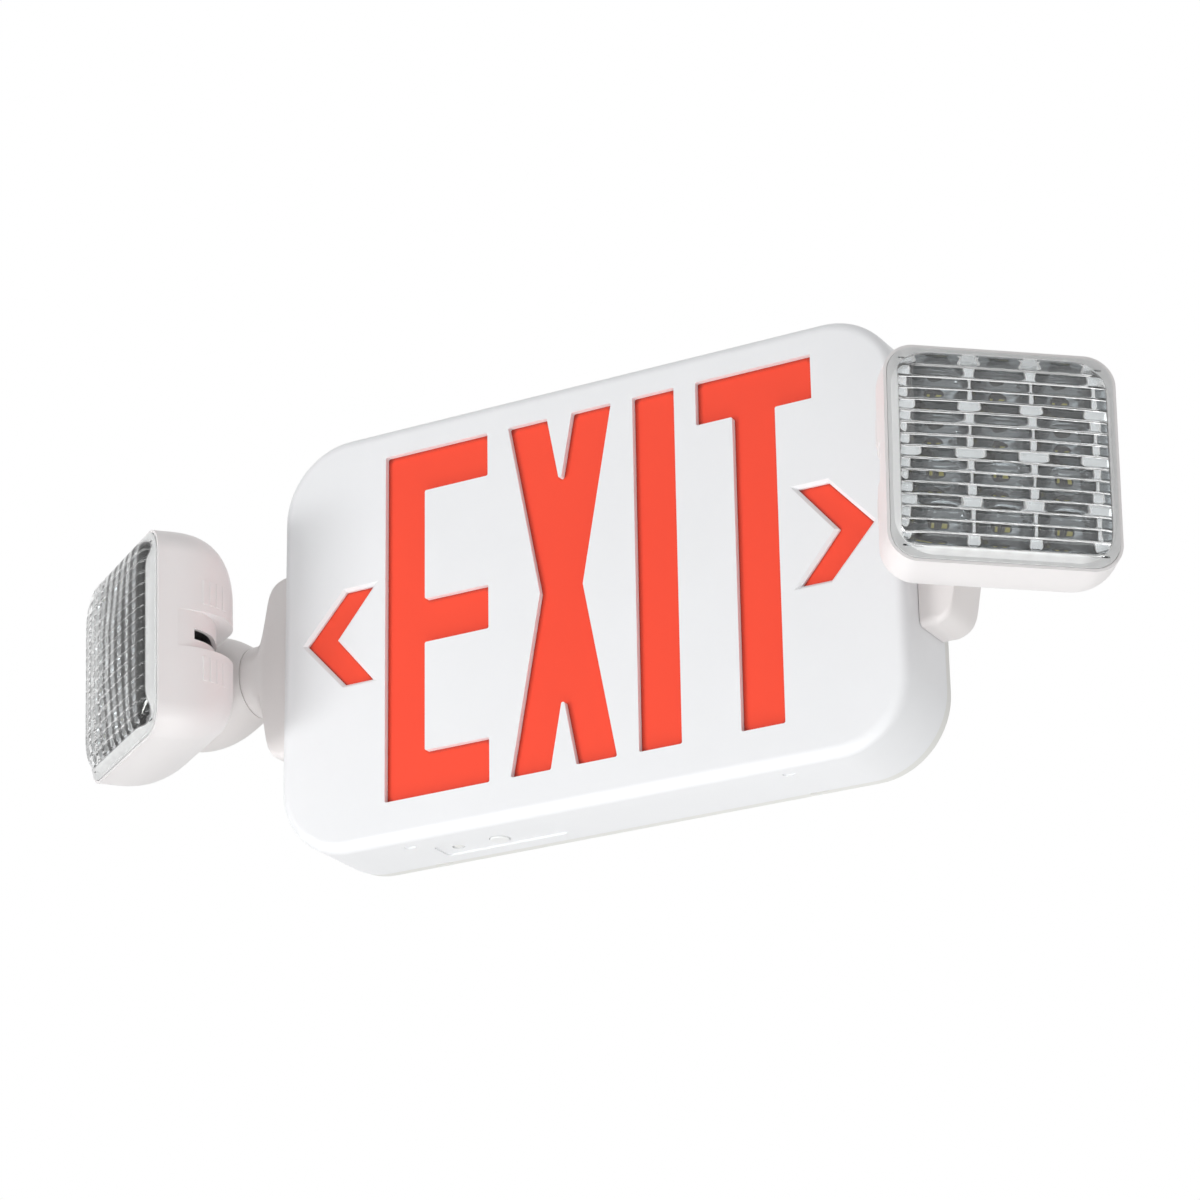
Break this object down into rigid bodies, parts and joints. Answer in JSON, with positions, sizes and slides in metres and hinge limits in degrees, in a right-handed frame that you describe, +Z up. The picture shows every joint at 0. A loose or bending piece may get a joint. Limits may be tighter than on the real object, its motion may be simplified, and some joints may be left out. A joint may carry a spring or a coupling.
{
  "type": "emergency exit light",
  "caption": "Wall sign housing with cut-out letters and arrows over a red diffuser, carried with a swivelling lamp head on a hinged neck at each side.",
  "frame": {"origin": "centre of the back plate's wall face, midway along the housing's width and height", "axes": "+Z up, +X to the reader's right, -Y out of the wall towards the reader"},
  "size_m": [0.4704, 0.1005, 0.1826],
  "materials": {
    "housing_white": "satin moulded white",
    "plate_white": "matt moulded white",
    "diffuser_red": "translucent red",
    "lens_clear": "clear moulded lens",
    "reflector_metal": "metallised moulding",
    "board_green": "circuit board",
    "board_dark": "dark circuit board",
    "chip_yellow": "phosphor",
    "screw_steel": "zinc plated",
    "steel_dark": "laminations",
    "coil_tape": "taped winding",
    "relay_black": "black case",
    "capacitor_sleeve": "sleeve",
    "cell_wrap": "heat-shrunk wrap",
    "terminal_grey": "moulded",
    "button_grey": "moulded",
    "pilot_lens": "milky light guide",
    "pin_steel": "ground",
    "washer_nylon": "nylon"
  },
  "bodies": {
    "housing": {"front_cover": "housing_white", "back_plate": "plate_white", "red_diffuser": "diffuser_red", "upper_lamp_strip": "board_green", "lower_lamp_strip": "board_green", "sign_leds": "chip_yellow", "charger_board": "board_green", "transfer_relay": "relay_black", "charge_capacitor": "capacitor_sleeve", "transformer_core": "steel_dark", "transformer_coil": "coil_tape", "battery_pack": "cell_wrap", "battery_clip": "plate_white", "terminal_block": "terminal_grey", "test_switch": "relay_black", "pilot_lamp": "pilot_lens", "lamp_holder": "relay_black", "board_screws": "screw_steel", "strip_screws": "screw_steel", "clip_screws": "screw_steel", "left_arm_base": "housing_white", "left_arm_screws": "screw_steel", "right_arm_base": "housing_white", "right_arm_screws": "screw_steel"},
    "test_button": {"test_button": "button_grey"},
    "left_neck": {"left_neck": "housing_white", "left_neck_washer": "washer_nylon", "left_neck_ring": "pin_steel"},
    "left_head": {"left_head_shell": "housing_white", "left_lens": "lens_clear", "left_reflector": "reflector_metal", "left_lamp_board": "board_dark", "left_lamp_chips": "chip_yellow", "left_pivot_pin": "pin_steel", "left_head_screws": "screw_steel"},
    "right_neck": {"right_neck": "housing_white", "right_neck_washer": "washer_nylon", "right_neck_ring": "pin_steel"},
    "right_head": {"right_head_shell": "housing_white", "right_lens": "lens_clear", "right_reflector": "reflector_metal", "right_lamp_board": "board_dark", "right_lamp_chips": "chip_yellow", "right_pivot_pin": "pin_steel", "right_head_screws": "screw_steel"}
  },
  "joints": [
    {"name": "left_neck_turn", "type": "hinge", "parent": "housing", "child": "left_neck", "pos_m": [-0.16925, -0.0167, 0], "axis": [-1, 0, 0], "range_deg": [-12, 12]},
    {"name": "left_head_swing", "type": "hinge", "parent": "left_neck", "child": "left_head", "pos_m": [-0.1868, -0.05547, -0.00162], "axis": [0, -0.0419, 0.9991], "range_deg": [0, 45]},
    {"name": "right_neck_turn", "type": "hinge", "parent": "housing", "child": "right_neck", "pos_m": [0.16925, -0.0167, 0], "axis": [1, 0, 0], "range_deg": [-12, 12]},
    {"name": "right_head_swing", "type": "hinge", "parent": "right_neck", "child": "right_head", "pos_m": [0.1868, -0.05547, 0.00162], "axis": [0, -0.0419, -0.9991], "range_deg": [0, 45]},
    {"name": "test_button_press", "type": "slide", "parent": "housing", "child": "test_button", "axis": [0, 0, 1], "range_m": [0, 0.0008], "stiffness_N_per_m": 900}
  ]
}
